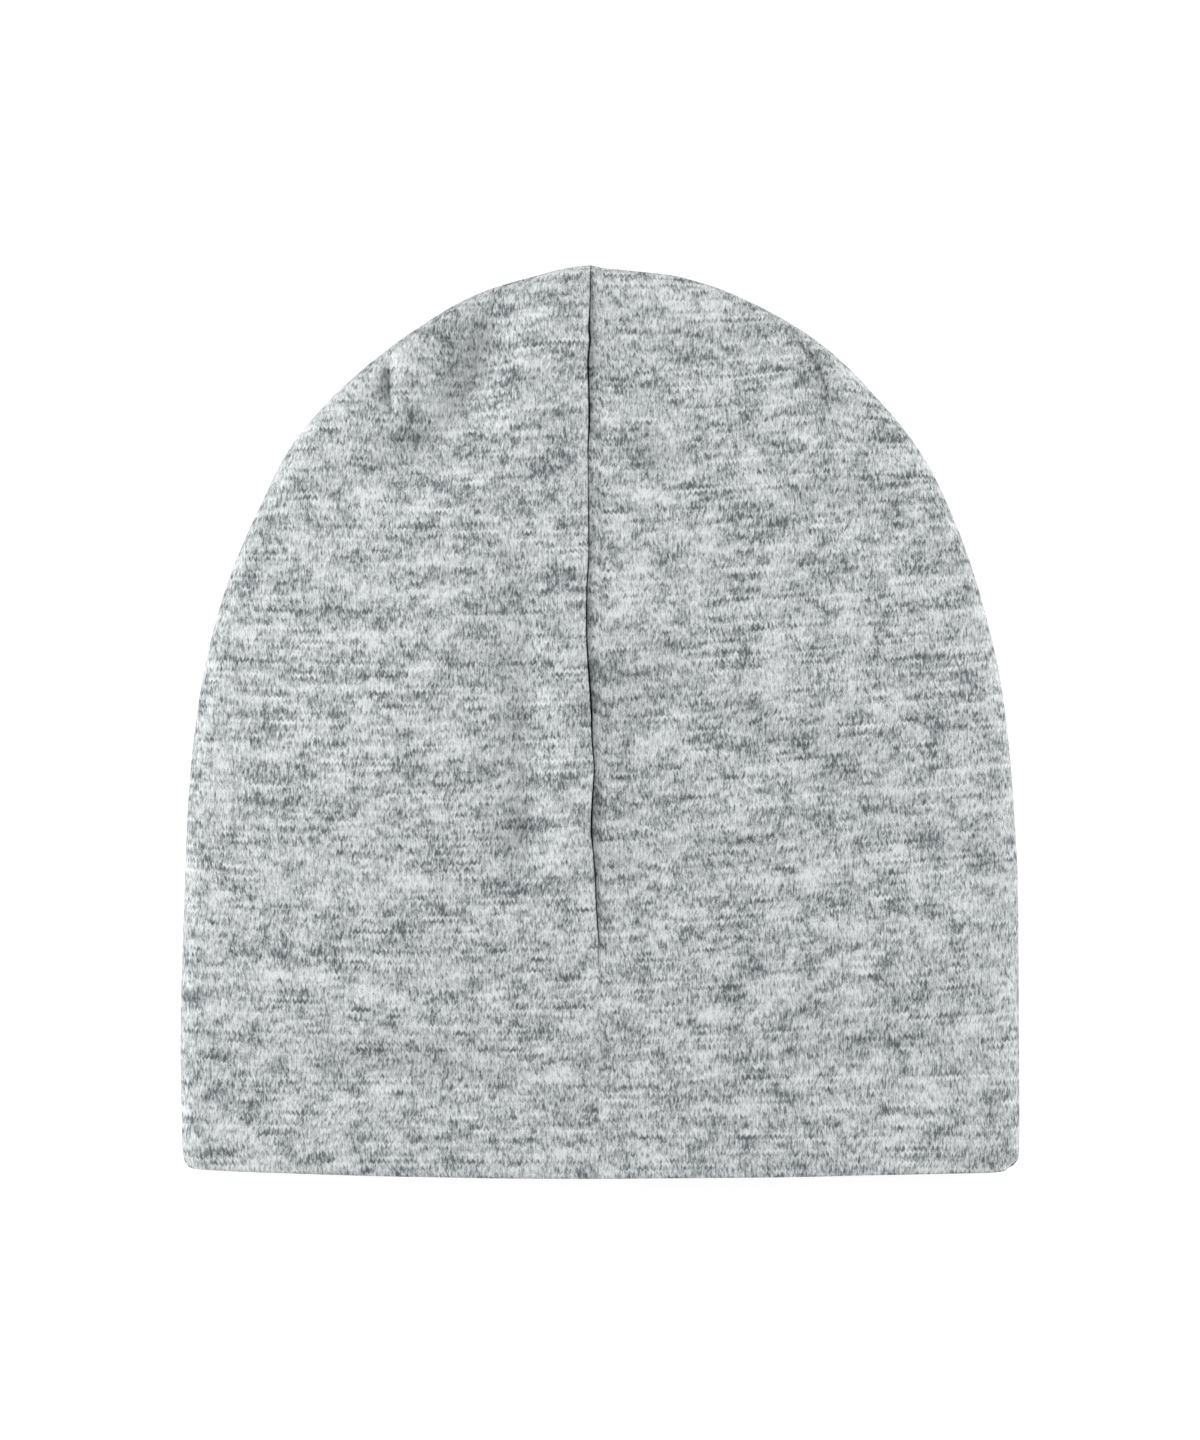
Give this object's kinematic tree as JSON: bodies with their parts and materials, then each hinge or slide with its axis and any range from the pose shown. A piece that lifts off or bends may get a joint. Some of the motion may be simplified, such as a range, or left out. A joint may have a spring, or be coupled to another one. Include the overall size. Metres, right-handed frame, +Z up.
{
  "type": "slouchy beanie",
  "caption": "Slouchy beanie of doubled heather jersey with a domed crown, a centre seam and an open hem, to be pulled over the head; it lies flat on its back.",
  "frame": {"origin": "on the table under the middle of the beanie, as it lies on its back", "axes": "+Z up from the table through the front; +Y from the hem to the crown point; +X to the right, seen from above with the crown away"},
  "size_m": [0.24, 0.2598, 0.0261],
  "materials": {
    "heather_jersey": "soft, slightly fuzzy single jersey in light grey with darker grey heather streaks along its courses"
  },
  "bodies": {
    "root": {"left_panel": "heather_jersey", "right_panel": "heather_jersey"}
  },
  "joints": []
}
